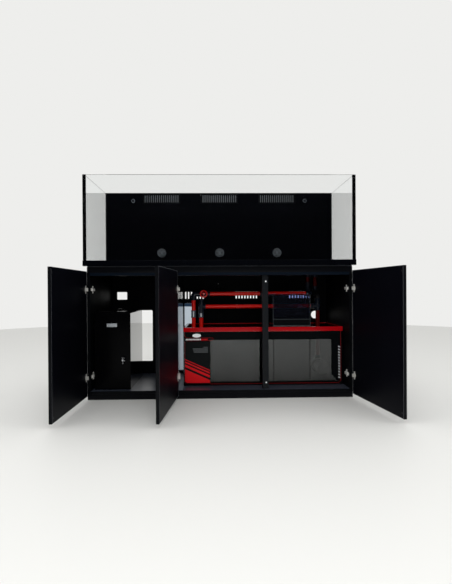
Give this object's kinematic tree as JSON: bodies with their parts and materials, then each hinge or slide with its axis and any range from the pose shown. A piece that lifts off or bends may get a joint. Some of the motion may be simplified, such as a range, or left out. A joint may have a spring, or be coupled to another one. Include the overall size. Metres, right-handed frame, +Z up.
{
  "type": "aquarium on stand",
  "caption": "Rimless glass aquarium with a black weir wall, on a black cabinet with open doors, a glass sump, red pipework and a top-up reservoir.",
  "frame": {"origin": "on the floor under the middle of the cabinet, on the plinth's centre bearers", "axes": "+Z up, +X to the right along the front, front faces -Y"},
  "size_m": [1.8953, 1.2335, 1.482],
  "materials": {
    "black_laminate": "satin black laminate on board",
    "nickelled_steel": "nickel-plated pressed steel",
    "tank_glass": "clear float glass, polished edges",
    "sump_glass": "float glass",
    "black_silicone": "tooled silicone bead",
    "black_trim": "smooth black",
    "foam_mat": "closed-cell foam",
    "black_acrylic": "gloss black sheet",
    "comb_plastic": "moulded black plastic",
    "grey_plastic": "moulded grey plastic",
    "black_plastic": "satin black PVC",
    "red_pvc": "gloss red PVC",
    "black_hose": "ribbed flexible hose",
    "red_rim": "gloss dark red",
    "clear_acrylic": "clear acrylic sheet",
    "filter_felt": "needled felt",
    "gloss_black_acrylic": "gloss black sheet",
    "tap_steel": "polished metal"
  },
  "bodies": {
    "stand": {"plinth": "black_laminate", "floor_board": "black_laminate", "side_left": "black_laminate", "side_right": "black_laminate", "front_rail": "black_laminate", "divider": "black_laminate", "centre_post": "black_laminate", "rear_strut": "black_laminate", "top_board": "black_laminate", "back_board": "black_laminate", "levelling_mat": "foam_mat", "tank_bottom": "tank_glass", "tank_front": "tank_glass", "tank_rear": "tank_glass", "tank_left": "tank_glass", "tank_right": "tank_glass", "corner_seal_left": "black_silicone", "corner_seal_right": "black_silicone", "base_trim": "black_trim", "weir_wall": "black_acrylic", "overflow_comb_left": "comb_plastic", "strainer_left": "grey_plastic", "overflow_comb_middle": "comb_plastic", "strainer_middle": "grey_plastic", "overflow_comb_right": "comb_plastic", "strainer_right": "grey_plastic", "nozzle_seat_left": "black_plastic", "nozzle_seat_right": "black_plastic", "drain_standpipe": "black_plastic", "return_manifold": "black_plastic", "drain_line": "red_pvc", "gate_valve": "black_plastic", "drain_drop": "red_pvc", "return_hose": "black_hose", "pump_riser": "red_pvc", "feed_line": "red_pvc", "return_pump": "black_plastic", "sump_tank": "sump_glass", "sump_rim": "red_rim", "baffle_refill_left": "clear_acrylic", "baffle_refill_right": "clear_acrylic", "refill_box": "clear_acrylic", "filter_tray": "clear_acrylic", "reservoir_body": "gloss_black_acrylic", "tap_body": "tap_steel"},
    "left_door": {"left_door": "black_laminate", "left_hinge_cup_upper": "nickelled_steel", "left_hinge_cup_lower": "nickelled_steel"},
    "middle_door": {"middle_door": "black_laminate", "middle_hinge_cup_upper": "nickelled_steel", "middle_hinge_cup_lower": "nickelled_steel"},
    "right_door": {"right_door": "black_laminate", "right_hinge_cup_upper": "nickelled_steel", "right_hinge_cup_lower": "nickelled_steel"},
    "handwheel": {"handwheel": "red_pvc"},
    "nozzle_left": {"nozzle_left": "black_plastic"},
    "nozzle_right": {"nozzle_right": "black_plastic"},
    "reservoir_lid": {"reservoir_lid": "gloss_black_acrylic"},
    "tap_lever": {"tap_lever": "tap_steel"},
    "filter_cup": {"filter_cup": "filter_felt"}
  },
  "joints": [
    {"name": "left_door_hinge", "type": "hinge", "parent": "stand", "child": "left_door", "pos_m": [-0.88, -0.317, 0.4355], "axis": [0, 0, 1], "range_deg": [-15, 91]},
    {"name": "middle_door_hinge", "type": "hinge", "parent": "stand", "child": "middle_door", "pos_m": [-0.292, -0.327, 0.4355], "axis": [0, 0, 1], "range_deg": [-10, 94.5]},
    {"name": "right_door_hinge", "type": "hinge", "parent": "stand", "child": "right_door", "pos_m": [0.88, -0.317, 0.4355], "axis": [0, 0, 1], "range_deg": [-98.7, 10]},
    {"name": "handwheel_turn", "type": "hinge", "parent": "stand", "child": "handwheel", "pos_m": [-0.124, 0.083, 0.692], "axis": [0, 1, 0], "continuous": true},
    {"name": "nozzle_left_tilt", "type": "hinge", "parent": "stand", "child": "nozzle_left", "pos_m": [-0.672, 0.198, 1.42], "axis": [1, 0, 0], "range_deg": [-25, 25]},
    {"name": "nozzle_right_tilt", "type": "hinge", "parent": "stand", "child": "nozzle_right", "pos_m": [0.672, 0.198, 1.42], "axis": [1, 0, 0], "range_deg": [-25, 25]},
    {"name": "reservoir_lid_lift", "type": "slide", "parent": "stand", "child": "reservoir_lid", "axis": [0, 0, 1], "range_m": [0, 0.15]},
    {"name": "tap_lever_turn", "type": "hinge", "parent": "stand", "child": "tap_lever", "pos_m": [-0.654, -0.29, 0.257], "axis": [0, 0, 1], "range_deg": [-90, 0]},
    {"name": "filter_cup_lift", "type": "slide", "parent": "stand", "child": "filter_cup", "axis": [0, 0, 1], "range_m": [0, 0.25]}
  ]
}
